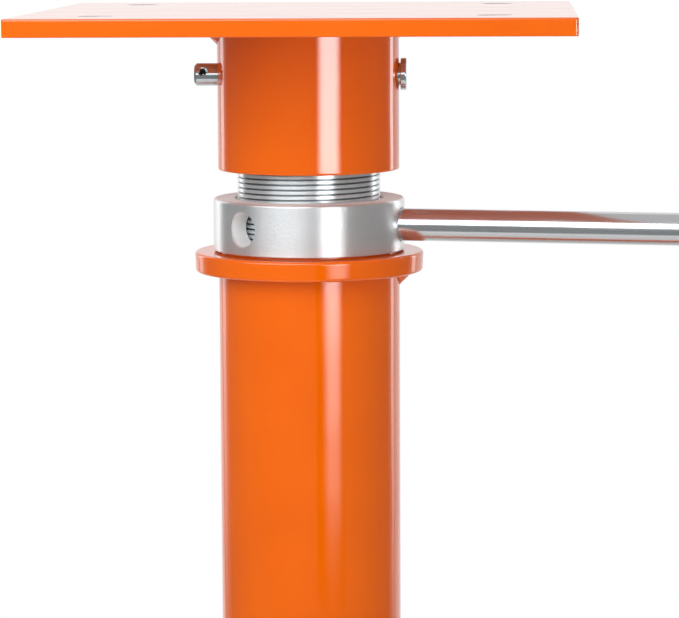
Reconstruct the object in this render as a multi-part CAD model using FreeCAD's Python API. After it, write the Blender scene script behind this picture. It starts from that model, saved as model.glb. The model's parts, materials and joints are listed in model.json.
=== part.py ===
import FreeCAD, Part
import math
import os

# Adjustable jacking post: a tube post with a jack screw, its round nut and a pinned head plate.
# Millimetres, +Z up. The origin is the middle of the base plate's underside.
# X and Y run along the plates' edges, and the clevis pin lies along X with its head at +X.

# Cut ends of the tube stock
EDGE_BREAK = 0.5

# Square plates at head and foot
PLATE_SIDE = 185.0
PLATE_THICKNESS = 6.0
PLATE_CORNER_RADIUS = 1.0
BOLT_HOLE_DIAMETER = 11.0
BOLT_EDGE_DISTANCE = 27.0

# Hollow jack screw, drawn at its thread's outer diameter
SCREW_OD = 50.0
SCREW_WALL = 5.0
SCREW_LENGTH = 350.0
SCREW_END_CHAMFER = 1.2

# Tube stock, which the post and the head sleeve are both cut from
BORE_CLEARANCE = 1.75
TUBE_WALL = 5.0
POST_LENGTH = 500.0
SLEEVE_LENGTH = 49.5

# Round nut, which rests on the post's end and is turned by a bar in one of its radial holes
NUT_HEIGHT = 18.0
NUT_WALL = 8.45
NUT_EDGE_CHAMFER = 0.7
NUT_BORE_CHAMFER = 1.2
THREAD_CLEARANCE = 0.05
BAR_HOLE_COUNT = 3
BAR_HOLE_RELIEF = 2.0
SHOWN_THREAD = 10.0

# Loose bar
BAR_DIAMETER = 11.3
BAR_LENGTH = 280.0
BAR_CLEARANCE = 0.3
BAR_END_GAP = 0.4
BAR_END_CHAMFER = 1.5
BAR_DIRECTION = -10.0

# Collar ring round the post, set down from the tube's end so that the nut runs clear of it
COLLAR_WIDTH = 8.2
COLLAR_THICKNESS = 7.0
COLLAR_SET_DOWN = 0.6
COLLAR_CLEARANCE = 0.2
COLLAR_EDGE_BREAK = 0.8

# Clevis pin through sleeve and screw
PIN_DIAMETER = 7.9
PIN_CLEARANCE = 0.25
PIN_DROP = 16.5
PIN_OVERHANG = 8.0
PIN_END_CHAMFER = 0.8
PIN_HEAD_DIAMETER = 11.2
PIN_HEAD_THICKNESS = 2.0
PIN_HEAD_GAP = 0.6
PIN_HEAD_BREAK = 0.3
PIN_HOLE_DIAMETER = 2.2
PIN_HOLE_INSET = 3.0
PIN_HOLE_CHAMFER = 0.6
PIN_ROLL = 20.0

# Fillet welds: all round the foot, and one run round the back under the collar and the head plate
PLATE_WELD_LEG = 6.0
COLLAR_WELD_LEG = 5.2
COLLAR_WELD_START_ANGLE = -8.0
COLLAR_WELD_SWEEP_ANGLE = 178.0
HEAD_WELD_START_ANGLE = 2.0
HEAD_WELD_SWEEP_ANGLE = 205.0

# Radii
SCREW_RADIUS = SCREW_OD / 2
TUBE_BORE_RADIUS = SCREW_RADIUS + BORE_CLEARANCE
TUBE_RADIUS = TUBE_BORE_RADIUS + TUBE_WALL
NUT_BORE_RADIUS = SCREW_RADIUS + THREAD_CLEARANCE
NUT_RADIUS = NUT_BORE_RADIUS + NUT_WALL
BAR_INNER_END = SCREW_RADIUS + BAR_END_GAP
COLLAR_BORE_RADIUS = TUBE_RADIUS + COLLAR_CLEARANCE
COLLAR_RADIUS = COLLAR_BORE_RADIUS + COLLAR_WIDTH

# Heights, from the ground up
POST_TOP = PLATE_THICKNESS + POST_LENGTH
COLLAR_TOP = POST_TOP - COLLAR_SET_DOWN
COLLAR_BOTTOM = COLLAR_TOP - COLLAR_THICKNESS
NUT_TOP = POST_TOP + NUT_HEIGHT
BAR_HEIGHT = POST_TOP + NUT_HEIGHT / 2
SLEEVE_BOTTOM = NUT_TOP + SHOWN_THREAD
HEAD_UNDERSIDE = SLEEVE_BOTTOM + SLEEVE_LENGTH
PIN_HEIGHT = HEAD_UNDERSIDE - PIN_DROP

Z_AXIS = FreeCAD.Vector(0, 0, 1)
X_AXIS = FreeCAD.Vector(1, 0, 0)
Y_AXIS = FreeCAD.Vector(0, 1, 0)
ORIGIN = FreeCAD.Vector(0, 0, 0)


def turned(section, start=0.0, sweep=360.0):
    """Solid turned about Z from a closed half section of (radius, height) points, through a sweep of degrees."""
    corners = [FreeCAD.Vector(radius, 0, height) for radius, height in section]
    outline = Part.makePolygon(corners + corners[:1])
    solid = Part.Face(outline).revolve(ORIGIN, Z_AXIS, sweep)
    solid.rotate(ORIGIN, Z_AXIS, start)
    return solid


def turned_ring(inner, outer, low, high, low_break=0.0, high_break=0.0, bore_break=0.0):
    """Ring about Z, its low and high outer edges and its bore's high edge broken at 45 degrees if asked."""
    section = [
        (inner, low),
        (outer - low_break, low),
        (outer, low + low_break),
        (outer, high - high_break),
        (outer - high_break, high),
        (inner + bore_break, high),
        (inner, high - bore_break),
    ]
    return turned([corner for i, corner in enumerate(section) if corner != section[i - 1]])


def drill(reach, diameter, direction, height, start=0.0):
    """Drill of one diameter along a level direction, from start to reach, at a height."""
    tip = direction * start + Z_AXIS * height
    return Part.makeCylinder(diameter / 2, reach - start, tip, direction)


def countersink(start, diameter, length, direction, height, way=1):
    """Cone that breaks a hole's edge, flaring at 45 degrees from start, outwards or inwards (-1)."""
    throat = direction * start + Z_AXIS * height
    return Part.makeCone(diameter / 2, diameter / 2 + length, length, throat, direction * way)


def bolted_plate(low):
    """Square plate with four bolt holes, standing on a height."""
    half = PLATE_SIDE / 2
    plate = Part.makeBox(PLATE_SIDE, PLATE_SIDE, PLATE_THICKNESS, FreeCAD.Vector(-half, -half, low))
    upright = [e for e in plate.Edges if abs(e.tangentAt(e.FirstParameter).z) > 0.5]
    plate = plate.makeFillet(PLATE_CORNER_RADIUS, upright)
    offset = half - BOLT_EDGE_DISTANCE
    for x in (-offset, offset):
        for y in (-offset, offset):
            foot = FreeCAD.Vector(x, y, low)
            plate = plate.cut(Part.makeCylinder(BOLT_HOLE_DIAMETER / 2, PLATE_THICKNESS, foot))
    return plate


def weld_bead(seat, leg, way, start=0.0, sweep=360.0):
    """Mitre fillet weld round the tube, on a flat face at height seat, running up (1) or down (-1)."""
    section = [(TUBE_RADIUS, seat), (TUBE_RADIUS + leg, seat), (TUBE_RADIUS, seat + way * leg)]
    return turned(section, start, sweep)


def pin_bore():
    """Clearance hole for the clevis pin, right across the tube stock."""
    return drill(TUBE_RADIUS, PIN_DIAMETER + 2 * PIN_CLEARANCE, X_AXIS, PIN_HEIGHT, -TUBE_RADIUS)


def head_sleeve():
    """Tube stub under the head plate, over the screw's top."""
    sleeve = turned_ring(TUBE_BORE_RADIUS, TUBE_RADIUS, SLEEVE_BOTTOM, HEAD_UNDERSIDE, EDGE_BREAK)
    return sleeve.cut(pin_bore())


def jack_screw():
    """Hollow screw, its top against the head plate and its lower length inside the post."""
    screw = turned_ring(SCREW_RADIUS - SCREW_WALL, SCREW_RADIUS, HEAD_UNDERSIDE - SCREW_LENGTH,
                        HEAD_UNDERSIDE, SCREW_END_CHAMFER, SCREW_END_CHAMFER)
    return screw.cut(pin_bore())


def bar_directions():
    """Level directions of the nut's bar holes, the first with the bar in it."""
    angles = [math.radians(BAR_DIRECTION + 360.0 * i / BAR_HOLE_COUNT) for i in range(BAR_HOLE_COUNT)]
    return [FreeCAD.Vector(math.cos(a), math.sin(a), 0) for a in angles]


def jack_nut():
    """Round nut with radial bar holes through to its thread, relieved at their inner ends."""
    nut = turned_ring(NUT_BORE_RADIUS, NUT_RADIUS, POST_TOP, NUT_TOP,
                      NUT_EDGE_CHAMFER, NUT_EDGE_CHAMFER, NUT_BORE_CHAMFER)
    hole = BAR_DIAMETER + 2 * BAR_CLEARANCE
    for direction in bar_directions():
        nut = nut.cut(drill(NUT_RADIUS, hole, direction, BAR_HEIGHT))
        nut = nut.cut(countersink(BAR_INNER_END, hole, BAR_HOLE_RELIEF, direction, BAR_HEIGHT, -1))
    return nut


def tommy_bar():
    """Round bar with chamfered ends, its inner end just clear of the screw."""
    outer = BAR_INNER_END + BAR_LENGTH
    radius = BAR_DIAMETER / 2
    bar = turned([
        (0, BAR_INNER_END),
        (radius - BAR_END_CHAMFER, BAR_INNER_END),
        (radius, BAR_INNER_END + BAR_END_CHAMFER),
        (radius, outer - BAR_END_CHAMFER),
        (radius - BAR_END_CHAMFER, outer),
        (0, outer),
    ])
    bar.rotate(ORIGIN, Y_AXIS, 90)
    bar.rotate(ORIGIN, Z_AXIS, BAR_DIRECTION)
    bar.translate(Z_AXIS * BAR_HEIGHT)
    return bar


def clevis_pin():
    """Headed pin with a chamfered end and an empty cross hole for a split pin."""
    end = -TUBE_RADIUS - PIN_OVERHANG
    seat = TUBE_RADIUS + PIN_HEAD_GAP
    face = seat + PIN_HEAD_THICKNESS
    shank = PIN_DIAMETER / 2
    head = PIN_HEAD_DIAMETER / 2
    pin = turned([
        (0, end),
        (shank - PIN_END_CHAMFER, end),
        (shank, end + PIN_END_CHAMFER),
        (shank, seat),
        (head, seat),
        (head, face - PIN_HEAD_BREAK),
        (head - PIN_HEAD_BREAK, face),
        (0, face),
    ])
    pin.rotate(ORIGIN, Y_AXIS, 90)
    cross_hole = drill(shank, PIN_HOLE_DIAMETER, Y_AXIS, 0, -shank)
    for way in (1, -1):
        cross_hole = cross_hole.fuse(
            countersink(shank - PIN_HOLE_CHAMFER, PIN_HOLE_DIAMETER, PIN_HOLE_CHAMFER, Y_AXIS * way, 0))
    cross_hole.translate(X_AXIS * (end + PIN_HOLE_INSET))
    pin = pin.cut(cross_hole)
    pin.rotate(ORIGIN, X_AXIS, -PIN_ROLL)
    pin.translate(Z_AXIS * PIN_HEIGHT)
    return pin


def post_tube():
    """Tube post, from the base plate to the nut."""
    return turned_ring(TUBE_BORE_RADIUS, TUBE_RADIUS, PLATE_THICKNESS, POST_TOP, high_break=EDGE_BREAK)


def tube_collar():
    """Ring round the post, a little below its top end."""
    return turned_ring(COLLAR_BORE_RADIUS, COLLAR_RADIUS, COLLAR_BOTTOM, COLLAR_TOP,
                       COLLAR_EDGE_BREAK, COLLAR_EDGE_BREAK)


PIECES = {
    "base_plate": bolted_plate(0),
    "base_weld": weld_bead(PLATE_THICKNESS, PLATE_WELD_LEG, 1),
    "post_tube": post_tube(),
    "tube_collar": tube_collar(),
    "collar_weld": weld_bead(COLLAR_BOTTOM, COLLAR_WELD_LEG, -1,
                             COLLAR_WELD_START_ANGLE, COLLAR_WELD_SWEEP_ANGLE),
    "jack_nut": jack_nut(),
    "tommy_bar": tommy_bar(),
    "jack_screw": jack_screw(),
    "head_sleeve": head_sleeve(),
    "head_weld": weld_bead(HEAD_UNDERSIDE, PLATE_WELD_LEG, -1,
                           HEAD_WELD_START_ANGLE, HEAD_WELD_SWEEP_ANGLE),
    "head_plate": bolted_plate(HEAD_UNDERSIDE),
    "clevis_pin": clevis_pin(),
}

os.makedirs("parts", exist_ok=True)
for name, piece in PIECES.items():
    piece.exportStep(os.path.join("parts", name + ".step"))
    print(name, "valid" if piece.isValid() else "NOT VALID", len(piece.Solids), round(piece.Volume, 1))
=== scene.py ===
"""Looks of an adjustable jacking post: gloss enamel on steel, turned zinc and a polished bar.

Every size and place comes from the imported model, in metres, with Z up along the screw.
"""

import cmath
import json
import logging
import math
from abc import ABC, abstractmethod
from dataclasses import dataclass
from enum import Enum
from typing import Any, Iterable, Sequence

import bmesh
import bpy
from bpy.types import Camera, Material, Mesh, Node, NodeSocket, NodeTree, Object, World
from mathutils import Matrix, Vector


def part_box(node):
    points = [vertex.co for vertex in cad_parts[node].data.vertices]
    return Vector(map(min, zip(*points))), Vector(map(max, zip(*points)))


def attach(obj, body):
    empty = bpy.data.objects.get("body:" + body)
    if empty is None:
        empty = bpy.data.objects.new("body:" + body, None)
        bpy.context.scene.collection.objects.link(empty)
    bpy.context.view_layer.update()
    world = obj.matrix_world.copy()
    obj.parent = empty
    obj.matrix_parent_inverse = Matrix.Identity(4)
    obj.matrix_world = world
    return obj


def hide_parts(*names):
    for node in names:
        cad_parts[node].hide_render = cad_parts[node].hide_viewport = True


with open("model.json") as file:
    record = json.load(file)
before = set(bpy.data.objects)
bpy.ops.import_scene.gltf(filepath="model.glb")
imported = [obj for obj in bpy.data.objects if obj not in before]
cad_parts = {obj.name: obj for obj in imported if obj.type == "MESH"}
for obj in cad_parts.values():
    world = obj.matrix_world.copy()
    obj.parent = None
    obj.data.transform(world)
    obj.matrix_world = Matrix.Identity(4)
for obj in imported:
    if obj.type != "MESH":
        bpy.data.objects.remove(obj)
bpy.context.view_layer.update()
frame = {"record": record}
MOUNTS = {mount["name"]: mount for mount in frame["record"]["mounts"]}

LOG = logging.getLogger("jacking_post")
MM = 0.001
FULL_TURN = 2 * math.pi
ACROSS = Vector((1, 0, 0))
WELD_DISTANCE = 1e-7
SEAM_DISTANCE = 1e-6
SMOOTH_ANGLE = math.radians(32)
BARE_STEEL = "bare_steel"
WHITE = "#FFFFFF"

# Kinds of node that come up most, and the numbers of a Mix node's inputs
MATH = "ShaderNodeMath"
VECTOR_MATH = "ShaderNodeVectorMath"
MAP_RANGE = "ShaderNodeMapRange"
NOISE = "ShaderNodeTexNoise"
MIX = "ShaderNodeMix"
CLAMP = "ShaderNodeClamp"
COMBINE = "ShaderNodeCombineXYZ"
FACTOR = 0
VALUE_A = 2
VALUE_B = 3
COLOUR_A = 6
COLOUR_B = 7

Named = dict[int | str, Any]
Inputs = Named | Sequence[Any]
Place = tuple[float, float]
Span = tuple[float, float]
Step = tuple[str | float, ...]

# Whole range of a noise pattern, and the part where nearly all of it lies
WHOLE: Span = (0.0, 1.0)
NOISE_RANGE: Span = (0.3, 0.7)


class Body(Enum):
    """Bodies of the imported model."""

    POST = "post"
    NUT = "nut"
    HEAD = "head"
    PIN = "pin"


class Slot(Enum):
    """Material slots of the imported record."""

    ORANGE_PAINT = "orange_paint"
    SATIN_ZINC = "satin_zinc"
    BRIGHT_ZINC = "bright_zinc"
    BRIGHT_BAR = "bright_bar"


class Way(Enum):
    """Direction in which a fillet weld runs up the tube from the flat face that it sits on."""

    UP = 1.0
    DOWN = -1.0


def fill(tree: NodeTree, node: Node, inputs: Inputs) -> None:
    """Sets or links inputs of a node.

    Args:
        tree: Tree that holds the node.
        node: Node whose inputs are filled.
        inputs: Values in the order of the node's inputs, or by an input's name or number. A socket is
            linked, and of a node the first output in use.
    """
    pairs = inputs.items() if isinstance(inputs, dict) else enumerate(inputs)
    for key, value in pairs:
        if isinstance(value, Node):
            value = next(socket for socket in value.outputs if socket.enabled)
        if isinstance(value, NodeSocket):
            tree.links.new(value, node.inputs[key])
        else:
            node.inputs[key].default_value = value


def add(tree: NodeTree, kind: str, inputs: Inputs = (), **settings: Any) -> Node:
    """Adds a node with its settings, and fills or links its inputs.

    Args:
        tree: Tree of a material, the world or a modifier.
        kind: Type of node, as bpy names it.
        inputs: Inputs as fill takes them.
        settings: Properties of the node, such as its operation.

    Returns:
        The new node.
    """
    node = tree.nodes.new(kind)
    for name, value in settings.items():
        setattr(node, name, value)
    fill(tree, node, inputs)
    return node


def empty_tree(owner: Material | World) -> NodeTree:
    """Gives a material or a world a node tree with nothing in it.

    Args:
        owner: Material or world.

    Returns:
        The empty tree.
    """
    owner.use_nodes = True
    owner.node_tree.nodes.clear()
    return owner.node_tree


def linear(colour: str) -> tuple[float, float, float, float]:
    """Turns an sRGB hex colour into linear RGBA.

    Args:
        colour: Hex colour with a leading hash.

    Returns:
        Red, green, blue and an alpha of one.
    """
    shares = [int(colour[i:i + 2], 16) / 255 for i in (1, 3, 5)]
    red, green, blue = [s / 12.92 if s <= 0.04045 else ((s + 0.055) / 1.055) ** 2.4 for s in shares]
    return red, green, blue, 1.0


def new_object(name: str, data: Mesh | Camera) -> Object:
    """Links a mesh or a camera to the scene as an object at the origin.

    Args:
        name: Name of the object.
        data: The mesh or the camera.

    Returns:
        The new object.
    """
    thing = bpy.data.objects.new(name, data)
    bpy.context.scene.collection.objects.link(thing)
    return thing


def from_bmesh(name: str, shape: bmesh.types.BMesh) -> Object:
    """Makes an object of a closed shape, with doubles merged and faces pointing outwards.

    Args:
        name: Name of the object.
        shape: Closed shape, which is freed.

    Returns:
        The new object.
    """
    bmesh.ops.remove_doubles(shape, verts=shape.verts, dist=WELD_DISTANCE)
    bmesh.ops.recalc_face_normals(shape, faces=shape.faces)
    mesh = bpy.data.meshes.new(name)
    shape.to_mesh(mesh)
    shape.free()
    return new_object(name, mesh)


def bake(thing: Object) -> None:
    """Turns an object's modifiers into a plain mesh and removes them.

    Args:
        thing: Object with modifiers.
    """
    evaluated = thing.evaluated_get(bpy.context.evaluated_depsgraph_get())
    mesh = bpy.data.meshes.new_from_object(evaluated)
    worn = thing.data
    thing.modifiers.clear()
    thing.data = mesh
    bpy.data.meshes.remove(worn)


def dress(thing: Object, material: Material) -> None:
    """Gives a finished mesh its one material, with smooth faces between sharp edges.

    Args:
        thing: Object with a plain mesh.
        material: Its finish.
    """
    mesh = thing.data
    mesh.materials.clear()
    mesh.materials.append(material)
    mesh.polygons.foreach_set("material_index", [0] * len(mesh.polygons))
    mesh.shade_smooth()
    mesh.set_sharp_from_angle(angle=SMOOTH_ANGLE)


@dataclass(frozen=True)
class Round:
    """Outer radius and heights of a node that is round about Z."""

    radius: float
    low: float
    high: float

    @classmethod
    def of(cls, node: str) -> "Round":
        """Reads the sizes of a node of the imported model."""
        low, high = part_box(node)
        return cls((high.x - low.x) / 2, low.z, high.z)


@dataclass(frozen=True)
class Corner:
    """Corner of a turned section, with the radius that its edge is rounded to."""

    radius: float
    height: float
    rounding: float = 0.0

    @property
    def place(self) -> complex:
        """The corner as a complex number, radius and height."""
        return complex(self.radius, self.height)


@dataclass(frozen=True)
class Section:
    """Half section of a turned piece, closed on itself or open between two points on the axis."""

    corners: Sequence[Corner]
    closed: bool = True
    arc_steps: int = 5
    support: float = 0.25 * MM

    def points(self) -> list[complex]:
        """Works out the outline.

        Returns:
            Its points, each rounding as an arc with a support point on the flats beside it.
        """
        outline: list[complex] = []
        count = len(self.corners)
        for i, corner in enumerate(self.corners):
            here = corner.place
            if corner.rounding == 0.0:
                outline.append(here)
                continue
            back = self.corners[i - 1].place - here
            ahead = self.corners[(i + 1) % count].place - here
            back /= abs(back)
            ahead /= abs(ahead)
            half = abs(cmath.phase(ahead / back)) / 2
            reach = corner.rounding / math.tan(half)
            middle = back + ahead
            centre = here + middle / abs(middle) * corner.rounding / math.sin(half)
            spoke = here + back * reach - centre
            turn = cmath.phase((here + ahead * reach - centre) / spoke)
            outline.append(here + back * (reach + self.support))
            for step in range(self.arc_steps + 1):
                outline.append(centre + spoke * cmath.exp(1j * turn * step / self.arc_steps))
            outline.append(here + ahead * (reach + self.support))
        return outline

    def turn(self, name: str, segments: int, place: Matrix = Matrix.Identity(4)) -> Object:
        """Turns the section about Z.

        Args:
            name: Name of the object.
            segments: Faces around the axis.
            place: Where the turned shape goes, in the mesh itself.

        Returns:
            The turned object.
        """
        shape = bmesh.new()
        circle = [cmath.exp(1j * FULL_TURN * k / segments) for k in range(segments)]
        rings = []
        for point in self.points():
            spots = [(point.real * c.real, point.real * c.imag, point.imag) for c in circle]
            rings.append([shape.verts.new(spot) for spot in spots])
        pairs = list(zip(rings, rings[1:]))
        if self.closed:
            pairs.append((rings[-1], rings[0]))
        for ring, following in pairs:
            for k in range(segments):
                shape.faces.new((ring[k - 1], ring[k], following[k], following[k - 1]))
        shape.transform(place)
        return from_bmesh(name, shape)


def pointing(direction: Vector, origin: Vector) -> Matrix:
    """Gives the matrix that stands a shape turned about Z at an origin, along a direction."""
    return Matrix.Translation(origin) @ direction.to_track_quat("Z", "Y").to_matrix().to_4x4()


def cross_drill(radius: float, throat: float, end: float, segments: int, place: Matrix) -> Object:
    """Makes the cutter for a hole right across a round piece, countersunk at both ends.

    Args:
        radius: Radius of the hole.
        throat: Distance from the middle at which each countersink starts.
        end: Distance from the middle to each end of the cutter.
        segments: Faces around the hole.
        place: Where the cutter goes, from a middle at the origin along Z.

    Returns:
        The cutter.
    """
    flare = radius + end - throat
    return Section([
        Corner(0.0, -end),
        Corner(flare, -end),
        Corner(radius, -throat),
        Corner(radius, throat),
        Corner(flare, end),
        Corner(0.0, end),
    ], closed=False).turn("cross_drill", segments, place)


def carve(thing: Object, cutters: Iterable[Object]) -> None:
    """Cuts shapes out of an object and removes the cutters.

    Args:
        thing: Object that is cut, with the result as its plain mesh.
        cutters: Closed shapes.
    """
    used = list(cutters)
    for cutter in used:
        cut = thing.modifiers.new("cut", "BOOLEAN")
        cut.operation = "DIFFERENCE"
        cut.solver = "EXACT"
        cut.object = cutter
    bake(thing)
    for cutter in used:
        mesh = cutter.data
        bpy.data.objects.remove(cutter)
        bpy.data.meshes.remove(mesh)


@dataclass(frozen=True)
class BoltedPlate:
    """Square steel plate with bolt holes near its corners and paint-rounded edges."""

    low: Vector
    high: Vector
    hole_radius: float
    hole_centres: Sequence[Place]
    corner_radius: float = 0.1 * MM
    edge: float = 0.45 * MM
    flat_margin: float = 0.4 * MM
    edge_steps: int = 4
    corner_steps: int = 6
    hole_steps: int = 48

    def outer_loop(self, inset: float) -> list[Place]:
        """Works out the plate's outline, with round corners.

        Args:
            inset: How far the outline is moved inwards.

        Returns:
            Its points, anticlockwise.
        """
        radius = self.corner_radius + self.flat_margin + self.edge
        reach = radius - inset
        left, right = self.low.x + radius, self.high.x - radius
        front, back = self.low.y + radius, self.high.y - radius
        loop = []
        for quarter, (x, y) in enumerate(((right, back), (left, back), (left, front), (right, front))):
            for step in range(self.corner_steps + 1):
                angle = math.pi / 2 * (quarter + step / self.corner_steps)
                loop.append((x + reach * math.cos(angle), y + reach * math.sin(angle)))
        return loop

    def hole_loop(self, centre: Place, inset: float) -> list[Place]:
        """Works out one hole's outline.

        Args:
            centre: Middle of the hole.
            inset: How much the hole is widened.

        Returns:
            Its points.
        """
        radius = self.hole_radius + inset
        angles = [FULL_TURN * step / self.hole_steps for step in range(self.hole_steps)]
        return [(centre[0] + radius * math.cos(a), centre[1] + radius * math.sin(a)) for a in angles]

    def rim(self) -> list[Place]:
        """Works out the loops down an edge.

        Returns:
            Inset and height of each loop, from the top flat to the bottom one.
        """
        arc = [math.pi / 2 * step / self.edge_steps for step in range(self.edge_steps + 1)]
        upper = [(self.edge * (1 - math.sin(a)), self.high.z - self.edge * (1 - math.cos(a))) for a in arc]
        flat = self.edge + self.flat_margin
        upper = [(flat, self.high.z), *upper, (0.0, self.high.z - flat)]
        return upper + [(inset, self.low.z + self.high.z - height) for inset, height in reversed(upper)]

    def build(self, name: str) -> Object:
        """Builds the plate as one closed mesh, with its drilled holes marked as bare steel.

        Args:
            name: Name of the object.

        Returns:
            The plate.
        """
        shape = bmesh.new()
        bare = shape.verts.layers.float.new(BARE_STEEL)
        flats: dict[int, list[bmesh.types.BMEdge]] = {0: [], -1: []}
        for hole in (None, *self.hole_centres):
            rings = []
            for inset, height in self.rim():
                loop = self.outer_loop(inset) if hole is None else self.hole_loop(hole, inset)
                rings.append([shape.verts.new((x, y, height)) for x, y in loop])
                for vertex in rings[-1]:
                    vertex[bare] = float(hole is not None and inset < self.edge)
            for ring, following in zip(rings, rings[1:]):
                for k in range(len(ring)):
                    shape.faces.new((ring[k - 1], ring[k], following[k], following[k - 1]))
            for end, edges in flats.items():
                ring = rings[end]
                edges.extend(shape.edges.get((ring[k - 1], ring[k])) for k in range(len(ring)))
        for edges in flats.values():
            bmesh.ops.triangle_fill(shape, use_beauty=True, use_dissolve=False, edges=edges)
        return from_bmesh(name, shape)


class WrappedGrid(ABC):
    """Shape that a Geometry Nodes tree makes of a grid, wrapped round Z by a rule with named sizes.

    Each step of a rule has the name of what it works out, the operation or the kind of node for that, and
    what goes in, as a number or by name. The steps of a shape give its radius and its height from the share
    along a row, the row's number and the angle.
    """

    title: str
    sizes: tuple[str, ...]
    steps: Sequence[Step]
    first_steps: Sequence[Step] = (
        ("count", "MULTIPLY", "rise", "Rows"),
        ("row", "ROUND", "count"),
        ("angle", "MULTIPLY_ADD", "along", "Sweep", "Start"),
        ("cosine", "COSINE", "angle"),
        ("sine", "SINE", "angle"),
    )
    last_steps: Sequence[Step] = (
        ("x", "MULTIPLY", "radius", "cosine"),
        ("y", "MULTIPLY", "radius", "sine"),
        ("place", COMBINE, "x", "y", "height"),
    )

    def grow(self, name: str, base: Mesh, values: dict[str, Any]) -> Object:
        """Runs the tree and keeps its result as a plain mesh.

        Args:
            name: Name of the object.
            base: Mesh that the grid is joined to, which may be empty.
            values: Value of each named input.

        Returns:
            The finished object.
        """
        tree = self.tree()
        thing = new_object(name, base)
        modifier = thing.modifiers.new(self.title, "NODES")
        modifier.node_group = tree
        for item in tree.interface.items_tree:
            if item.in_out == "INPUT" and item.name in values:
                modifier[item.identifier] = values[item.name]
        bake(thing)
        shape = bmesh.new()
        shape.from_mesh(thing.data)
        bmesh.ops.recalc_face_normals(shape, faces=shape.faces)
        shape.to_mesh(thing.data)
        shape.free()
        return thing

    def tree(self) -> NodeTree:
        """Builds the shape's tree on its first use.

        Returns:
            The tree, with an input for each size.
        """
        tree = bpy.data.node_groups.get(self.title)
        if tree is not None:
            return tree
        tree = bpy.data.node_groups.new(self.title, "GeometryNodeTree")
        kinds = {
            "Geometry": "NodeSocketGeometry",
            **dict.fromkeys((*self.sizes, "Start", "Sweep", "Seam"), "NodeSocketFloat"),
            "Columns": "NodeSocketInt",
            "Rows": "NodeSocketInt",
            "Material": "NodeSocketMaterial",
        }
        for name, kind in kinds.items():
            tree.interface.new_socket(name=name, in_out="INPUT", socket_type=kind)
        tree.interface.new_socket(name="Geometry", in_out="OUTPUT", socket_type="NodeSocketGeometry")
        known: dict[Any, Any] = {socket.name: socket for socket in add(tree, "NodeGroupInput").outputs}
        columns = add(tree, MATH, [known["Columns"], 1.0], operation="ADD")
        rows = add(tree, MATH, [known["Rows"], 1.0], operation="ADD")
        grid = add(tree, "GeometryNodeMeshGrid", {"Vertices X": columns, "Vertices Y": rows})
        share = add(tree, "ShaderNodeSeparateXYZ", [grid.outputs["UV Map"]]).outputs
        known |= {"along": share["X"], "rise": share["Y"]}
        for name, doing, *terms in (*self.first_steps, *self.steps, *self.last_steps):
            inputs = [known.get(term, term) for term in terms]
            if doing in (COMBINE, CLAMP, NOISE):
                known[name] = add(tree, doing, inputs)
            else:
                known[name] = add(tree, MATH, inputs, operation=doing)
        wrapped = add(tree, "GeometryNodeSetPosition", {"Geometry": grid, "Position": known["place"]})
        joined = add(tree, "GeometryNodeJoinGeometry", [known["Geometry"]])
        fill(tree, joined, [wrapped])
        closed = add(tree, "GeometryNodeMergeByDistance", {"Geometry": joined, "Distance": known["Seam"]})
        whole = add(tree, "GeometryNodeRealizeInstances", [closed])
        dressed = add(tree, "GeometryNodeSetMaterial", {"Geometry": whole, "Material": known["Material"]})
        add(tree, "NodeGroupOutput", [dressed])
        return tree


class HelicalThread(WrappedGrid):
    """Outer thread whose rows follow the helix, chamfered off at both ends and joined to a given bore."""

    title = "helical_thread"
    sizes = ("Pitch", "Crest Radius", "Depth", "Crest Share", "Root Share", "Low", "High", "Chamfer")
    rows_per_turn = 4
    steps = (
        # Rows come in pairs: even pairs bound a crest and odd ones a root
        ("turn", "DIVIDE", "row", rows_per_turn),
        ("whole", "FLOOR", "turn"),
        ("halved", "DIVIDE", "row", 2.0),
        ("pair", "FLOOR", "halved"),
        ("odd_row", "MODULO", "row", 2.0),
        ("odd_pair", "MODULO", "pair", 2.0),
        # The two flanks share what crest and root leave of a turn
        ("excess", "SUBTRACT", "Crest Share", "Root Share"),
        ("root_start", "MULTIPLY_ADD", "excess", 0.5, 0.5),
        ("bound", "MULTIPLY_ADD", "odd_pair", "root_start", "whole"),
        ("narrowed", "MULTIPLY", "odd_pair", "excess"),
        ("flat", "SUBTRACT", "Crest Share", "narrowed"),
        ("step", "MULTIPLY_ADD", "odd_row", "flat", "bound"),
        ("turns", "ADD", "step", "along"),
        ("foot", "SUBTRACT", "Low", "Pitch"),
        ("free", "MULTIPLY_ADD", "turns", "Pitch", "foot"),
        ("height", CLAMP, "free", "Low", "High"),
        ("sunk", "MULTIPLY", "odd_pair", "Depth"),
        ("cut", "SUBTRACT", "Crest Radius", "sunk"),
        # Near both ends a cone limits the radius
        ("above", "SUBTRACT", "height", "Low"),
        ("below", "SUBTRACT", "High", "height"),
        ("end", "MINIMUM", "above", "below"),
        ("cone", "SUBTRACT", "Crest Radius", "Chamfer"),
        ("limit", "ADD", "cone", "end"),
        ("radius", "MINIMUM", "cut", "limit"),
    )


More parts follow.
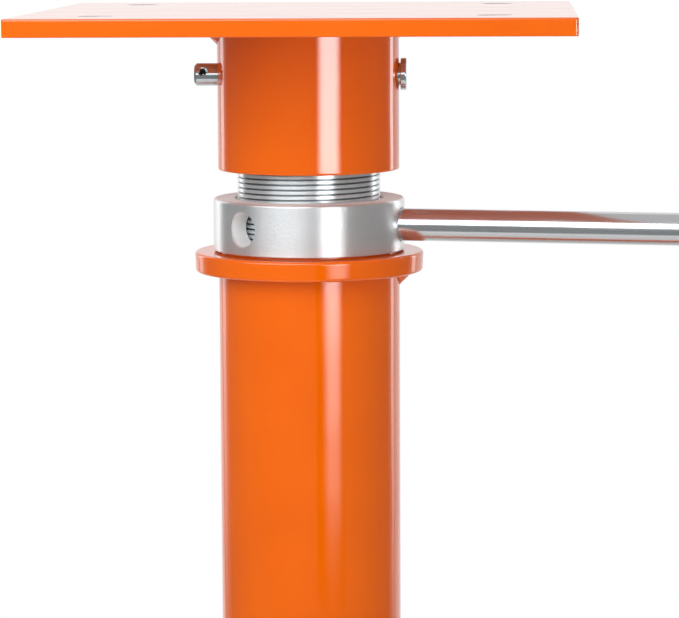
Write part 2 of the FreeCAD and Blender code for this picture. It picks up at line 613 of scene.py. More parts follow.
class WeldBead(WrappedGrid):
    """Fillet weld round a tube, with the ripples that each step of the arc leaves."""

    title = "weld_bead"
    sizes = ("Tube Radius", "Seat", "Leg", "Way", "Ring", "End Rate", "Ripples", "Ripple Height",
             "Ripple Jitter", "Crown", "Unevenness", "Patch", "Seed")
    steps = (
        # The last row is the hidden corner, and the ones before it cross the face from toe to toe
        ("line", "MODULO", "row", "Rows"),
        ("last", "SUBTRACT", "Rows", 1.5),
        ("hidden", "GREATER_THAN", "line", "last"),
        ("shown", "SUBTRACT", 1.0, "hidden"),
        ("span", "SUBTRACT", "Rows", 2.0),
        ("crossed", "DIVIDE", "line", "span"),
        ("across", CLAMP, "crossed"),
        ("back", "SUBTRACT", 1.0, "across"),
        # The bead's width wanders along the seam
        ("circle", COMBINE, "cosine", "sine", "Seed"),
        ("wander", NOISE, "circle", 0.0, "Patch"),
        ("centred", "SUBTRACT", "wander", 0.5),
        ("swing", "MULTIPLY_ADD", "centred", "Unevenness", 1.0),
        ("capped", "MINIMUM", "swing", 1.0),
        # A run that doesn't close on itself rounds off to nothing at both ends
        ("rest", "SUBTRACT", 1.0, "along"),
        ("nearer", "MINIMUM", "along", "rest"),
        ("inward", "MULTIPLY_ADD", "nearer", "End Rate", "Ring"),
        ("full", CLAMP, "inward"),
        ("end_angle", "MULTIPLY", "full", math.pi / 2),
        ("fullness", "SINE", "end_angle"),
        ("full_leg", "MULTIPLY", "capped", "Leg"),
        ("leg", "MULTIPLY", "full_leg", "fullness"),
        # Ripples are crescents, bowed along the seam between the two toes
        ("bow_angle", "MULTIPLY", "across", math.pi),
        ("bow", "SINE", "bow_angle"),
        ("phase", "MULTIPLY_ADD", "along", "Ripples", "bow"),
        ("uneven", "MULTIPLY_ADD", "centred", "Ripple Jitter", "phase"),
        ("wave_angle", "MULTIPLY", "uneven", math.pi),
        ("wave", "SINE", "wave_angle"),
        ("crest", "ABSOLUTE", "wave"),
        ("ripple", "MULTIPLY_ADD", "crest", "Ripple Height", "Crown"),
        ("bowed", "MULTIPLY", "ripple", "bow"),
        ("swell", "MULTIPLY", "bowed", "fullness"),
        # Distances from the corner, along the flat face and up the tube
        ("out_share", "MULTIPLY_ADD", "back", "leg", "swell"),
        ("up_share", "MULTIPLY_ADD", "across", "leg", "swell"),
        ("out", "MULTIPLY", "out_share", "shown"),
        ("up", "MULTIPLY", "up_share", "shown"),
        ("radius", "ADD", "Tube Radius", "out"),
        ("height", "MULTIPLY_ADD", "up", "Way", "Seat"),
    )


class Finish(ABC):
    """Surface finish that a piece can be dressed in."""

    name: str

    def material(self) -> Material:
        """Makes the finish as a material with its own node tree.

        Returns:
            The material.
        """
        material = bpy.data.materials.new(self.name)
        material.use_nodes = True
        tree = material.node_tree
        place = add(tree, "ShaderNodeTexCoord").outputs["Object"]
        fill(tree, tree.nodes["Principled BSDF"], self.wire(tree, place))
        return material

    @abstractmethod
    def wire(self, tree: NodeTree, place: NodeSocket) -> Named:
        """Adds the finish's own nodes.

        Args:
            tree: Tree of the material.
            place: Object coordinates, in metres.

        Returns:
            Inputs of the shader, as fill takes them.
        """


# Stove enamel sprayed on steel: a hard gloss skin whose reflections have crisp edges,
# with a faint orange peel that makes those edges waver and a slightly cloudy tone.
# Holes that were drilled afterwards show pale steel
@dataclass(frozen=True)
class GlossEnamel(Finish):
    """Gloss orange stove enamel on tube and plate."""

    name: str = "gloss_orange_stove_enamel"
    deep: str = "#DE5D00"
    bright: str = "#E86700"
    bare: str = "#C8C4C7"
    roughness: Span = (0.05, 0.09)
    refraction: float = 1.6
    peel: float = 3.5 * MM
    peel_height: float = 0.008 * MM
    peel_detail: float = 1.0
    wave: float = 22.0 * MM
    wave_height: float = 0.18 * MM
    wave_detail: float = 0.0
    cloud: float = 28.0 * MM
    cloud_detail: float = 3.0

    def wire(self, tree: NodeTree, place: NodeSocket) -> Named:
        """Adds cloudy tone, bare drilled walls, uneven gloss and orange peel.

        Args:
            tree: Tree of the material.
            place: Object coordinates, in metres.

        Returns:
            Inputs of the shader.
        """
        cloud = add(tree, NOISE, {"Vector": place, "Scale": 1 / self.cloud, "Detail": self.cloud_detail})
        skin = add(tree, MIX, {
            FACTOR: cloud,
            COLOUR_A: linear(self.deep),
            COLOUR_B: linear(self.bright),
        }, data_type="RGBA")
        drilled = add(tree, "ShaderNodeAttribute", attribute_name=BARE_STEEL).outputs["Fac"]
        tone = add(tree, MIX, {FACTOR: drilled, COLOUR_A: skin, COLOUR_B: linear(self.bare)},
                   data_type="RGBA")
        gloss = add(tree, MAP_RANGE, [cloud, *WHOLE, *self.roughness])
        peel = add(tree, NOISE, {"Vector": place, "Scale": 1 / self.peel, "Detail": self.peel_detail})
        wave = add(tree, NOISE, {"Vector": place, "Scale": 1 / self.wave, "Detail": self.wave_detail})
        swell = add(tree, "ShaderNodeBump", {"Height": wave, "Distance": self.wave_height})
        bump = add(tree, "ShaderNodeBump", {"Height": peel, "Distance": self.peel_height, "Normal": swell})
        return {"Base Color": tone, "Roughness": gloss, "Normal": bump, "IOR": self.refraction}


@dataclass(frozen=True, kw_only=True)
class MottledMetal(Finish):
    """Metal skin with blotches of tone over a fine grain of gloss and level.

    The two roughnesses hold at the ends of the grain's range, and the spread is how far marks of turning
    or rolling stretch reflections across them.
    """

    dull: str
    clean: str
    metal: float
    roughness: Span
    blotch: float
    blotch_detail: float = 3.0
    grain: float
    grain_detail: float = 3.0
    grain_range: Span = NOISE_RANGE
    grain_height: float
    spread: float = 0.0
    spread_direction: float = 0.25

    def pattern(self, tree: NodeTree, place: NodeSocket) -> NodeSocket | Node:
        """Gives the coordinates that the pattern follows, which are the object's own."""
        return place

    def wire(self, tree: NodeTree, place: NodeSocket) -> Named:
        """Adds the pattern in tone, gloss and level.

        Args:
            tree: Tree of the material.
            place: Object coordinates, in metres.

        Returns:
            Inputs of the shader.
        """
        spot = self.pattern(tree, place)
        blotch = add(tree, NOISE, {"Vector": spot, "Scale": 1 / self.blotch, "Detail": self.blotch_detail})
        grain = add(tree, NOISE, {"Vector": spot, "Scale": 1 / self.grain, "Detail": self.grain_detail})
        tone = add(tree, MIX, {
            FACTOR: blotch,
            COLOUR_A: linear(self.dull),
            COLOUR_B: linear(self.clean),
        }, data_type="RGBA")
        gloss = add(tree, MAP_RANGE, [grain, *self.grain_range, *self.roughness])
        bump = add(tree, "ShaderNodeBump", {"Height": grain, "Distance": self.grain_height})
        return {
            "Base Color": tone,
            "Metallic": self.metal,
            "Roughness": gloss,
            "Normal": bump,
            "Anisotropic": self.spread,
            "Anisotropic Rotation": self.spread_direction,
        }


@dataclass(frozen=True, kw_only=True)
class CoredMetal(MottledMetal):
    """Metal skin that gives way to another one within a core round an axis.

    There, the roughness is the skin's own times inner_keep, plus inner_roughness. The core's colour is
    painted: painted light in the nut, painted shade in the pin's cross hole and in the thread's roots.
    """

    inner: str
    inner_metal: float
    inner_roughness: float
    inner_keep: float = 0.0
    axis_at: Vector = Vector((0, 0, 0))
    axis_along: Vector = Vector((0, 0, 1))
    core: float
    fade: float

    def wire(self, tree: NodeTree, place: NodeSocket) -> Named:
        """Adds the skin and changes what lies within the core.

        Args:
            tree: Tree of the material.
            place: Object coordinates, in metres.

        Returns:
            Inputs of the shader.
        """
        skin = super().wire(tree, place)
        gloss = skin["Roughness"]
        offset = add(tree, VECTOR_MATH, [place, self.axis_at], operation="SUBTRACT")
        across = add(tree, VECTOR_MATH, [offset, self.axis_along], operation="CROSS_PRODUCT")
        away = add(tree, VECTOR_MATH, [across], operation="LENGTH")
        # Within the core the colour is painted light in the nut and painted shade in the pin and the thread
        painted_light_and_shade_mask = add(tree, MAP_RANGE, [away, self.core + self.fade, self.core])
        tone = add(tree, MIX, {
            FACTOR: painted_light_and_shade_mask,
            COLOUR_A: skin["Base Color"],
            COLOUR_B: linear(self.inner),
        }, data_type="RGBA")
        metal = add(tree, MAP_RANGE, [painted_light_and_shade_mask, *WHOLE, self.metal, self.inner_metal])
        inner = add(tree, MATH, [gloss, self.inner_keep, self.inner_roughness], operation="MULTIPLY_ADD")
        rough = add(tree, MIX, {FACTOR: painted_light_and_shade_mask, VALUE_A: gloss, VALUE_B: inner})
        return {**skin, "Base Color": tone, "Metallic": metal, "Roughness": rough}


# Zinc plate on turned steel: a pale satin skin whose turning marks spread reflections up and down,
# with crystals that speckle their edges, drawn as coarse as they need to show,
# and a haze that lifts the darks. Inside its rim the faces are near-white and mostly non-metal,
# a painted light that brightens the bar holes, the bore and the flat faces
@dataclass(frozen=True)
class SatinZinc(CoredMetal):
    """Satin zinc plate on the turned nut."""

    name: str = "satin_zinc_plate_on_turned_steel"
    dull: str = "#D0D3D4"
    clean: str = "#E2E5E6"
    # Near-white, mostly non-metal colour inside the rim: painted light in the holes, the bore and the flat
    # faces
    inner: str = "#F2F4F4"
    metal: float = 0.76
    inner_metal: float = 0.15
    roughness: Span = (0.28, 0.38)
    inner_roughness: float = 0.3
    inner_keep: float = 1.0
    blotch: float = 9.0 * MM
    blotch_detail: float = 4.0
    grain: float = 0.7 * MM
    grain_height: float = 0.06 * MM
    spread: float = 0.85
    fade: float = 0.6 * MM


# Bright zinc plate with a blue passivate: clean, cool and nearly mirror-like, with small dull patches
# where the plating is thinner. The narrow cross hole is painted dark and matt, a painted shade
@dataclass(frozen=True)
class BrightZinc(CoredMetal):
    """Bright blue-passivated zinc plate on the pin."""

    name: str = "bright_zinc_plate_on_drilled_pin"
    dull: str = "#BCC6CA"
    clean: str = "#DCE5E8"
    # Dark matt colour inside the cross hole: painted shade
    inner: str = "#3A3638"
    metal: float = 0.9
    inner_metal: float = 0.0
    roughness: Span = (0.24, 0.12)
    inner_roughness: float = 1.0
    blotch: float = 2.5 * MM
    grain: float = 2.5 * MM
    grain_range: Span = WHOLE
    grain_height: float = 0.004 * MM
    fade: float = 0.1 * MM


# Bright zinc plate on a rolled thread: the rolled crests spread reflections up and down into pale bands,
# and a darker colour painted into the roots draws dark lines between them, a painted shade
@dataclass(frozen=True)
class RolledZinc(BrightZinc):
    """Bright zinc plate on the screw's thread."""

    name: str = "bright_zinc_plate_on_rolled_thread"
    dull: str = "#D2DADD"
    clean: str = "#ECF1F2"
    # Darker colour in the roots: painted shade
    inner: str = "#788287"
    metal: float = 0.72
    inner_metal: float = 0.9
    roughness: Span = (0.36, 0.26)
    inner_roughness: float = 0.3
    grain_height: float = 0.0
    spread: float = 0.85
    fade: float = 0.35 * MM


# Drawn steel bar, polished and zinc flashed: a mirror along its length with faint draw lines,
# which are drawn as coarse as they need to show and spread reflections a little round the bar,
# under a thin haze that greys them
@dataclass(frozen=True, kw_only=True)
class PolishedBar(MottledMetal):
    """Polished drawn steel on the loose bar."""

    heading: float
    name: str = "polished_drawn_steel"
    dull: str = "#C4C8CB"
    clean: str = "#D8DBDD"
    metal: float = 0.88
    roughness: Span = (0.13, 0.23)
    blotch: float = 0.5 * MM
    grain: float = 0.5 * MM
    grain_height: float = 0.004 * MM
    line_length: float = 60.0 * MM

    def pattern(self, tree: NodeTree, place: NodeSocket) -> NodeSocket | Node:
        """Turns the coordinates along the bar and draws the grain out into lines.

        Args:
            tree: Tree of the material.
            place: Object coordinates, in metres.

        Returns:
            Coordinates that the pattern follows.
        """
        along = add(tree, "ShaderNodeVectorRotate", {"Vector": place, "Angle": -self.heading},
                    rotation_type="Z_AXIS")
        drawn = (self.grain / self.line_length, 1.0, 1.0)
        return add(tree, "ShaderNodeMapping", {"Vector": along, "Scale": drawn})


@dataclass(frozen=True)
class Piece:
    """Finished mesh with the body that it rides on and the node and slot that it stands for."""

    thing: Object
    body: Body
    node: str
    slot: Slot

    def place(self) -> None:
        """Rides the piece on its body in the stead of its node, and reports it."""
        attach(self.thing, self.body.value)
        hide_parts(self.node)
        self.thing.data.calc_loop_triangles()
        count = len(self.thing.data.loop_triangles)
        LOG.info("%s: %d triangles on %s for %s", self.thing.name, count, self.body.value, self.node)


class SubAssembly(ABC):
    """Group of pieces that are made together."""

    @abstractmethod
    def build(self) -> list[Piece]:
        """Builds and dresses the pieces."""


@dataclass(frozen=True)
class Weld:
    """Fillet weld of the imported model, with the way and the angles that it runs.

    Where it doesn't close on itself, it rounds off to nothing over the length of its taper.
    """

    node: str
    way: Way
    start: float = 0.0
    end: float = FULL_TURN
    taper: float = 3.5 * MM


@dataclass(frozen=True)
class WeldSizes:
    """Sizes that the post's fillet welds share.

    From patch to patch, the bead's leg changes by a share within its unevenness, and its ripples shift within
    the jitter, which counts in ripples. A face with a crown below zero is hollow.
    """

    ripple: float = 2.3 * MM
    ripple_height: float = 0.22 * MM
    ripple_jitter: float = 1.5
    crown: float = -0.25 * MM
    unevenness: float = 0.15
    patch: float = 6.35 * MM
    columns_per_ripple: int = 8
    rows: int = 12

    def bead(self, weld: Weld, tube: float, paint: Material) -> Object:
        """Builds a weld.

        Args:
            weld: Weld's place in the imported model.
            tube: Radius of the tube that the weld goes round.
            paint: Material over the weld.

        Returns:
            The weld.
        """
        name = f"painted_{weld.node}"
        low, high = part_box(weld.node)
        sweep = weld.end - weld.start
        length = sweep * tube
        ripples = round(length / self.ripple)
        bead = WeldBead().grow(name, bpy.data.meshes.new(name), {
            "Tube Radius": tube,
            "Seat": low.z if weld.way is Way.UP else high.z,
            "Leg": high.z - low.z,
            "Way": weld.way.value,
            "Start": weld.start,
            "Sweep": sweep,
            "Ring": 1.0 if sweep == FULL_TURN else 0.0,
            "End Rate": length / weld.taper,
            "Ripples": float(ripples),
            "Ripple Height": self.ripple_height,
            "Ripple Jitter": self.ripple_jitter,
            "Crown": self.crown,
            "Unevenness": self.unevenness,
            "Patch": tube / self.patch,
            "Seed": low.z / MM,
            "Columns": ripples * self.columns_per_ripple,
            "Rows": self.rows,
            "Seam": SEAM_DISTANCE,
            "Material": paint,
        })
        dress(bead, paint)
        return bead


@dataclass(frozen=True)
class Plates(SubAssembly):
    """Head and foot plate, which are cut alike."""

    paint: Material
    nodes: tuple[tuple[str, Body, str], ...] = (("base_plate", Body.POST, "base_bolts"),
                                                ("head_plate", Body.HEAD, "head_bolts"))

    def build(self) -> list[Piece]:
        """Builds both plates, with the bolt pattern that the record gives.

        Returns:
            The plates.
        """
        pieces = []
        for node, body, pattern in self.nodes:
            low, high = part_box(node)
            dims = MOUNTS[pattern]["dims"]
            half_x = dims["spacing_x_mm"] * MM / 2
            half_y = dims["spacing_y_mm"] * MM / 2
            radius = dims["hole_r_mm"] * MM
            centres = [(x, y) for x in (-half_x, half_x) for y in (-half_y, half_y)]
            plate = BoltedPlate(low, high, radius, centres).build(f"painted_{node}")
            dress(plate, self.paint)
            pieces.append(Piece(plate, body, node, Slot.ORANGE_PAINT))
        return pieces


@dataclass(frozen=True)
class Post(SubAssembly):
    """Tube post with its collar ring and its two welds."""

    paint: Material
    welds: tuple[Weld, ...] = (
        Weld("base_weld", Way.UP),
        Weld("collar_weld", Way.DOWN, start=math.radians(-8), end=math.radians(170)),
    )
    wall: float = 5.0 * MM
    tube_edge: float = 0.3 * MM
    collar_edge: float = 1.0 * MM
    collar_draft: float = 0.3 * MM
    segments: int = 192

    def build(self) -> list[Piece]:
        """Turns tube and collar, and lays the welds.

        Returns:
            Tube, collar and welds.
        """
        tube = Round.of("post_tube")
        bore = tube.radius - self.wall
        post = Section([
            Corner(bore, tube.low),
            Corner(tube.radius, tube.low),
            Corner(tube.radius, tube.high, self.tube_edge),
            Corner(bore, tube.high, self.tube_edge),
        ]).turn("painted_post_tube", self.segments)
        ring = Round.of("tube_collar")
        collar = Section([
            Corner(tube.radius, ring.low),
            Corner(ring.radius - self.collar_draft, ring.low, self.collar_edge),
            Corner(ring.radius, ring.high, self.collar_edge),
            Corner(tube.radius, ring.high),
        ]).turn("painted_tube_collar", self.segments)
        for thing in (post, collar):
            dress(thing, self.paint)
        beads = [(WeldSizes().bead(weld, tube.radius, self.paint), weld.node) for weld in self.welds]
        things = [(post, "post_tube"), (collar, "tube_collar"), *beads]
        return [Piece(thing, Body.POST, node, Slot.ORANGE_PAINT) for thing, node in things]


@dataclass(frozen=True)
class Head(SubAssembly):
    """Sleeve under the head plate, its weld and the hollow screw that it is pinned to."""

    paint: Material
    weld: Weld = Weld("head_weld", Way.DOWN, start=math.radians(2), end=math.radians(207), taper=11 * MM)
    wall: float = 5.0 * MM
    edge: float = 0.6 * MM
    hole_edge: float = 0.4 * MM
    pin_hole: float = 4.2 * MM
    drill_reach: float = 5.0 * MM
    pitch: float = 1.75 * MM
    thread_depth: float = 0.6 * MM
    # How far the painted shade reaches above the thread's roots
    painted_root_shade_reach: float = 0.05 * MM
    crest_share: float = 0.6
    root_share: float = 0.2
    chamfer: float = 1.2 * MM
    segments: int = 192
    thread_segments: int = 96
    hole_segments: int = 48

    def pin_drill(self, radius: float, edge: float) -> Object:
        """Makes the cutter for the clevis pin's cross hole.

        Args:
            radius: Radius of the tube that is cut.
            edge: How far the hole's outer edges are broken.

        Returns:
            The cutter, right across the tube.
        """
        low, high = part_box("clevis_pin")
        place = pointing(ACROSS, Vector((0, 0, (low.z + high.z) / 2)))
        end = radius + self.drill_reach
        return cross_drill(self.pin_hole, radius - edge, end, self.hole_segments, place)

    def screw(self) -> Object:
        """Builds the hollow screw with its helical thread.

        Returns:
            The screw.
        """
        size = Round.of("jack_screw")
        # The roots and the foot of the flanks are painted darker: painted shade in the grooves
        zinc = RolledZinc(core=size.radius - self.thread_depth + self.painted_root_shade_reach).material()
        bore = size.radius - self.wall
        end = size.radius - self.chamfer
        shell = Section([
            Corner(end, size.low),
            Corner(bore, size.low, self.edge),
            Corner(bore, size.high, self.edge),
            Corner(end, size.high),
        ], closed=False).turn("screw_bore", self.thread_segments)
        base = shell.data
        bpy.data.objects.remove(shell)
        turns = math.ceil((size.high - size.low) / self.pitch) + 1
        screw = HelicalThread().grow("threaded_jack_screw", base, {
            "Pitch": self.pitch,
            "Crest Radius": size.radius,
            "Depth": self.thread_depth,
            "Crest Share": self.crest_share,
            "Root Share": self.root_share,
            "Low": size.low,
            "High": size.high,
            "Chamfer": self.chamfer,
            "Start": 0.0,
            "Sweep": FULL_TURN,
            "Columns": self.thread_segments,
            "Rows": turns * HelicalThread.rows_per_turn,
            "Seam": SEAM_DISTANCE,
            "Material": zinc,
        })
        carve(screw, [self.pin_drill(size.radius, 0.0)])
        dress(screw, zinc)
        return screw

    def build(self) -> list[Piece]:
        """Turns the sleeve, cuts its pin holes, and adds weld and screw.

        Returns:
            Sleeve, weld and screw.
        """
        size = Round.of("head_sleeve")
        bore = size.radius - self.wall
        sleeve = Section([
            Corner(bore, size.low, self.edge),
            Corner(size.radius, size.low, self.edge),
            Corner(size.radius, size.high),
            Corner(bore, size.high),
        ]).turn("painted_head_sleeve", self.segments)
        carve(sleeve, [self.pin_drill(size.radius, self.hole_edge)])
        dress(sleeve, self.paint)
        bead = WeldSizes().bead(self.weld, size.radius, self.paint)
        return [
            Piece(sleeve, Body.HEAD, "head_sleeve", Slot.ORANGE_PAINT),
            Piece(bead, Body.HEAD, self.weld.node, Slot.ORANGE_PAINT),
            Piece(self.screw(), Body.HEAD, "jack_screw", Slot.BRIGHT_ZINC),
        ]


@dataclass(frozen=True)
class Nut(SubAssembly):
    """Round nut with three radial holes for the bar."""

    rim: float = 0.9 * MM
    top_edge: float = 0.8 * MM
    low_edge: float = 0.3 * MM
    bore_gap: float = 0.05 * MM
    bore_chamfer: float = 1.2 * MM
    bore_edge: float = 0.2 * MM
    hole_edge: float = 0.4 * MM
    drill_reach: float = 4.0 * MM
    relief: float = 2.0 * MM
    relief_start: float = 0.4 * MM
    hole_count: int = 3
    segments: int = 192
    hole_segments: int = 64

    def hole(self, size: Round, screw: float, radius: float, heading: float) -> Object:
        """Makes the cutter for one bar hole, flared at both ends.

        Args:
            size: Sizes of the nut.
            screw: Radius of the screw.
            radius: Radius of the hole.
            heading: Direction of the hole about Z.

        Returns:
            The cutter.
        """
        inner = screw + self.relief_start
        rim = size.radius - self.hole_edge
        section = Section([
            Corner(0.0, inner - self.relief),
            Corner(radius + self.relief, inner - self.relief),
            Corner(radius, inner),
            Corner(radius, rim),
            Corner(radius + self.drill_reach, rim + self.drill_reach),
            Corner(0.0, rim + self.drill_reach),
        ], closed=False)
        direction = Vector((math.cos(heading), math.sin(heading), 0))
        middle = Vector((0, 0, (size.low + size.high) / 2))
        return section.turn("bar_hole", self.hole_segments, pointing(direction, middle))

    def build(self) -> list[Piece]:
        """Turns the nut and drills it.

        Returns:
            The nut.
        """
        size = Round.of("jack_nut")
        screw = Round.of("jack_screw").radius
        bore = screw + self.bore_gap
        nut = Section([
            Corner(bore, size.low, self.bore_edge),
            Corner(size.radius, size.low, self.low_edge),
            Corner(size.radius, size.high, self.top_edge),
            Corner(bore + self.bore_chamfer, size.high, self.bore_edge),
            Corner(bore, size.high - self.bore_chamfer, self.bore_edge),
        ]).turn("turned_jack_nut", self.segments)
        free = MOUNTS["bar_hole_front"]
        first = math.atan2(free["axis"][1], free["axis"][0])
        radius = free["dims"]["r_mm"] * MM
        headings = [first + FULL_TURN * k / self.hole_count for k in range(self.hole_count)]
        carve(nut, [self.hole(size, screw, radius, heading) for heading in headings])
        # Inside the rim the zinc is painted near-white: painted light in the bar holes, the bore and the flat
        # faces
        dress(nut, SatinZinc(core=size.radius - self.rim).material())
        return [Piece(nut, Body.NUT, "jack_nut", Slot.SATIN_ZINC)]


@dataclass(frozen=True)
class TommyBar(SubAssembly):
    """Loose round bar that turns the nut."""

    chamfer: float = 1.5 * MM
    edge: float = 0.4 * MM
    segments: int = 96

    def build(self) -> list[Piece]:
        """Turns the bar along its own heading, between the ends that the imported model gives.

        Returns:
            The bar.
        """
        low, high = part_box("tommy_bar")
        middle = (low + high) / 2
        heading = math.atan2(middle.y, middle.x)
        direction = Vector((math.cos(heading), math.sin(heading), 0))
        radius = (high.z - low.z) / 2
        # Along X the bar's box reaches past each end's middle by the part of its end face that leans that way
        lean = (radius - self.chamfer) * abs(direction.y)
        start = (low.x + lean) / direction.x
        end = (high.x - lean) / direction.x
        place = pointing(direction, Vector((0, 0, middle.z)))
        bar = Section([
            Corner(0.0, start),
            Corner(radius - self.chamfer, start, self.edge),
            Corner(radius, start + self.chamfer, self.edge),
            Corner(radius, end - self.chamfer, self.edge),
            Corner(radius - self.chamfer, end, self.edge),
            Corner(0.0, end),
        ], closed=False).turn("polished_tommy_bar", self.segments, place)
        dress(bar, PolishedBar(heading=heading).material())
        return [Piece(bar, Body.NUT, "tommy_bar", Slot.BRIGHT_BAR)]


@dataclass(frozen=True)
class ClevisPin(SubAssembly):
    """Headed pin through sleeve and screw, with an empty cross hole."""

    shank: float = 3.95 * MM
    head_thickness: float = 2.0 * MM
    end_chamfer: float = 0.8 * MM
    edge: float = 0.3 * MM
    hole: float = 1.1 * MM
    hole_inset: float = 3.0 * MM
    hole_chamfer: float = 0.8 * MM
    drill_reach: float = 2.0 * MM
    roll: float = math.radians(20)
    segments: int = 96
    hole_segments: int = 40

    def build(self) -> list[Piece]:
        """Turns the pin along X and drills its cross hole, which the pin's roll tips up at the front.

        Returns:
            The pin.
        """
        low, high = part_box("clevis_pin")
        height = (low.z + high.z) / 2
        head = (high.z - low.z) / 2
        seat = high.x - self.head_thickness
        pin = Section([
            Corner(0.0, low.x),
            Corner(self.shank - self.end_chamfer, low.x, self.edge),
            Corner(self.shank, low.x + self.end_chamfer, self.edge),
            Corner(self.shank, seat),
            Corner(head, seat, self.edge),
            Corner(head, high.x, self.edge),
            Corner(0.0, high.x),
        ], closed=False).turn("plated_clevis_pin", self.segments, pointing(ACROSS, Vector((0, 0, height))))
        along = Vector((0, -math.cos(self.roll), math.sin(self.roll)))
        middle = Vector((low.x + self.hole_inset, 0, height))
        throat = self.shank - self.hole_chamfer
        end = self.shank + self.drill_reach
        carve(pin, [cross_drill(self.hole, throat, end, self.hole_segments, pointing(along, middle))])
        # The cross hole's walls are painted dark and matt: painted shade
        dress(pin, BrightZinc(axis_at=middle, axis_along=along, core=self.hole).material())
        return [Piece(pin, Body.PIN, "clevis_pin", Slot.BRIGHT_ZINC)]


@dataclass(frozen=True)
class Softbox:
    """Flat lit panel that faces the post, seen by it but not by the camera.

    Its azimuth, which grows from the front to the right, and its elevation are in degrees, and its fades are
    shares of its size. Down the cut_span of its height, a dark strip on one side widens to the share foot_cut
    of its width.
    """

    name: str
    azimuth: float
    elevation: float
    width: float
    height: float
    radiance: float
    distance: float = 1.5
    side_fade: float = 0.2
    foot_fade: float = 0.2
    foot_ease: float = 1.4
    foot_cut: float = 0.0
    cut_span: Span = (0.68, 0.5)
    colour: str = WHITE
    mirrored: bool = True

    def build(self, target: Vector) -> None:
        """Hangs the panel as part of the stage.

        Args:
            target: Point that the panel faces.
        """
        around = math.radians(self.azimuth)
        rise = math.radians(self.elevation)
        level = math.cos(rise)
        toward = Vector((math.sin(around) * level, -math.cos(around) * level, math.sin(rise)))
        aside = Vector((math.cos(around), math.sin(around), 0))
        upward = aside.cross(-toward)
        centre = target + toward * self.distance
        square = ((0, 0), (0, 1), (1, 1), (1, 0))
        corners = [centre + aside * (self.width * (u - 0.5)) + upward * (self.height * (v - 0.5))
                   for u, v in square]
        mesh = bpy.data.meshes.new(self.name)
        mesh.from_pydata(corners, [], [(0, 1, 2, 3)])
        shares = [share for spot in square for share in spot]
        mesh.uv_layers.new(name="panel").data.foreach_set("uv", shares)
        mesh.materials.append(self.material())
        panel = new_object(self.name, mesh)
        panel.visible_camera = False
        panel.visible_shadow = False
        panel.visible_glossy = self.mirrored

    def material(self) -> Material:
        """Makes the panel's light, which leaves its face only and fades towards its sides and its foot.

        Returns:
            The material.
        """
        material = bpy.data.materials.new(self.name)
        tree = empty_tree(material)
        uv = add(tree, "ShaderNodeTexCoord").outputs["UV"]
        place = add(tree, "ShaderNodeSeparateXYZ", [uv]).outputs
        cut = add(tree, MAP_RANGE, [place["Y"], *self.cut_span, 0.0, self.foot_cut])
        near = add(tree, MATH, [place["X"], cut], operation="SUBTRACT")
        far = add(tree, MATH, [1.0, place["X"]], operation="SUBTRACT")
        nearer = add(tree, MATH, [near, far], operation="MINIMUM")
        side = add(tree, MAP_RANGE, [nearer, 0.0, self.side_fade], interpolation_type="SMOOTHSTEP")
        foot = add(tree, MAP_RANGE, [place["Y"], 0.0, self.foot_fade])
        eased = add(tree, MATH, [foot, self.foot_ease], operation="POWER")
        glow = add(tree, MATH, [side, eased], operation="MULTIPLY")
        back = add(tree, "ShaderNodeNewGeometry").outputs["Backfacing"]
        face = add(tree, MAP_RANGE, [back, *WHOLE, self.radiance, 0.0])
        strength = add(tree, MATH, [glow, face], operation="MULTIPLY")
        light = add(tree, "ShaderNodeEmission", {"Color": linear(self.colour), "Strength": strength})
        add(tree, "ShaderNodeOutputMaterial", {"Surface": light})
        return material


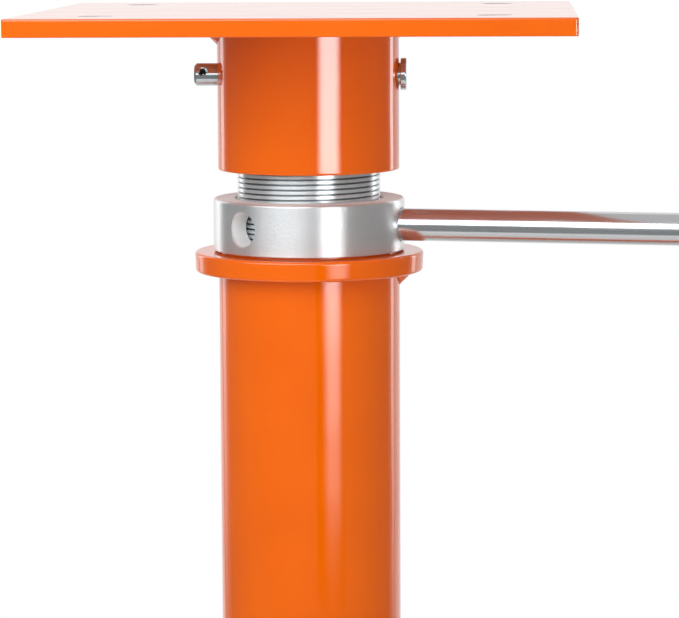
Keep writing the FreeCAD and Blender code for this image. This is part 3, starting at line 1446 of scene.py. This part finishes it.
@dataclass(frozen=True)
class Studio:
    """White floor, soft light and camera.

    The room changes to its ceiling and its backdrop over a span of the upward and the backward part of a
    direction, and its ambient light goes from one level to the other over a span from left to right. The
    camera's angles are in radians.
    """

    target: Vector = Vector((0, 0, 0.5))
    floor_radius: float = 0.6
    floor_segments: int = 96
    clear_radius: float = 0.3
    paper: str = "#F4F4F4"
    front: str = "#787C7C"
    above: str = "#CFCCCC"
    ceiling_span: Span = (0.3, 0.65)
    backdrop_span: Span = (0.5, 0.72)
    ambient: str = "#FFF2EA"
    ambient_span: Span = (-0.7, 0.7)
    ambient_levels: Span = (0.46, 0.36)
    camera_place: Vector = Vector((0.0743, -1.0930, 0.6227))
    camera_yaw: float = -0.0583
    camera_pitch: float = 0.1256
    camera_roll: float = -0.0053
    lens: float = 166.2
    sensor: float = 36.0
    softboxes: tuple[Softbox, ...] = (
        Softbox("key_softbox", azimuth=-27, elevation=25, width=1.5, height=0.46, radiance=4.5, distance=0.7,
                side_fade=0.45, foot_fade=0.1, colour="#F8FCFF"),
        Softbox("strip_softbox", azimuth=29.4, elevation=-7.0, width=0.95, height=0.51, radiance=11.5,
                side_fade=0.32, foot_fade=0.7, foot_cut=0.19),
        Softbox("low_fill_softbox", azimuth=-12, elevation=-8, width=1.2, height=0.6, radiance=1.9,
                colour="#FFE9DC", mirrored=False),
        Softbox("left_rim_softbox", azimuth=-136, elevation=4, width=0.4, height=1.6, radiance=2.3,
                foot_fade=0.4),
        Softbox("right_rim_softbox", azimuth=134, elevation=4, width=0.3, height=1.6, radiance=3.6,
                foot_fade=0.4),
    )

    def build(self) -> None:
        """Builds the floor, the lights and the camera."""
        self.floor()
        self.world()
        for softbox in self.softboxes:
            softbox.build(self.target)
        self.camera()
        bpy.context.scene.view_settings.view_transform = "Standard"

    def floor(self) -> None:
        """Lays a white disc that keeps the post's shadow and fades to white towards its rim."""
        shape = bmesh.new()
        bmesh.ops.create_circle(shape, cap_ends=True, radius=self.floor_radius, segments=self.floor_segments)
        mesh = bpy.data.meshes.new("floor")
        shape.to_mesh(mesh)
        shape.free()
        floor = new_object("floor", mesh)
        material = bpy.data.materials.new("white_floor")
        tree = empty_tree(material)
        place = add(tree, "ShaderNodeTexCoord").outputs["Object"]
        away = add(tree, VECTOR_MATH, [place], operation="LENGTH")
        fade = add(tree, MAP_RANGE, [away, self.clear_radius, self.floor_radius],
                   interpolation_type="SMOOTHSTEP")
        path = add(tree, "ShaderNodeLightPath").outputs
        seen = add(tree, MATH, [path["Is Camera Ray"], path["Is Glossy Ray"]], operation="MAXIMUM")
        white = add(tree, MATH, [fade, seen], operation="MULTIPLY")
        paper = add(tree, "ShaderNodeBsdfDiffuse", {"Color": linear(self.paper)})
        glow = add(tree, "ShaderNodeEmission", {"Strength": 1.0})
        mixed = add(tree, "ShaderNodeMixShader", [white, paper, glow])
        add(tree, "ShaderNodeOutputMaterial", {"Surface": mixed})
        mesh.materials.append(material)

    def world(self) -> None:
        """Makes a world that is white behind the post and a grey room in front of it."""
        world = bpy.data.worlds.new("studio")
        bpy.context.scene.world = world
        tree = empty_tree(world)
        direction = add(tree, "ShaderNodeTexCoord").outputs["Generated"]
        heading = add(tree, "ShaderNodeSeparateXYZ", [direction]).outputs
        ambient = add(tree, MAP_RANGE, [heading["X"], *self.ambient_span, *self.ambient_levels])
        over = add(tree, MAP_RANGE, [heading["Z"], *self.ceiling_span])
        behind = add(tree, MAP_RANGE, [heading["Y"], *self.backdrop_span], interpolation_type="SMOOTHSTEP")
        warm = add(tree, VECTOR_MATH, [ambient, linear(self.ambient)[:3]], operation="MULTIPLY")
        path = add(tree, "ShaderNodeLightPath").outputs
        # Each layer covers the one before it: room, ceiling, backdrop, light on dull faces, camera's white
        colour: Any = linear(self.front)
        for share, cover in (
            (over, linear(self.above)),
            (behind, linear(WHITE)),
            (path["Is Diffuse Ray"], warm),
            (path["Is Camera Ray"], linear(WHITE)),
        ):
            colour = add(tree, MIX, {FACTOR: share, COLOUR_A: colour, COLOUR_B: cover}, data_type="RGBA")
        back = add(tree, "ShaderNodeBackground", {"Color": colour})
        add(tree, "ShaderNodeOutputWorld", {"Surface": back})

    def camera(self) -> None:
        """Stands the camera where the photograph was taken from."""
        yaw, pitch, roll = self.camera_yaw, self.camera_pitch, self.camera_roll
        forward = Vector((math.sin(yaw) * math.cos(pitch), math.cos(yaw) * math.cos(pitch), -math.sin(pitch)))
        level = Vector((math.cos(yaw), -math.sin(yaw), 0))
        upright = level.cross(forward)
        right = math.cos(roll) * level + math.sin(roll) * upright
        up = math.cos(roll) * upright - math.sin(roll) * level
        data = bpy.data.cameras.new("camera")
        data.lens = self.lens
        data.sensor_width = self.sensor
        camera = new_object("camera", data)
        turned = Matrix((right, up, -forward)).transposed().to_4x4()
        camera.matrix_world = Matrix.Translation(self.camera_place) @ turned
        bpy.context.scene.camera = camera


def main() -> None:
    """Builds the post's sub-assemblies and the studio."""
    logging.basicConfig(level=logging.INFO, format="%(name)s %(message)s")
    paint = GlossEnamel().material()
    assemblies: list[SubAssembly] = [
        Plates(paint),
        Post(paint),
        Head(paint),
        Nut(),
        TommyBar(),
        ClevisPin(),
    ]
    for assembly in assemblies:
        for piece in assembly.build():
            piece.place()
    Studio().build()


if __name__ == "__main__":
    main()
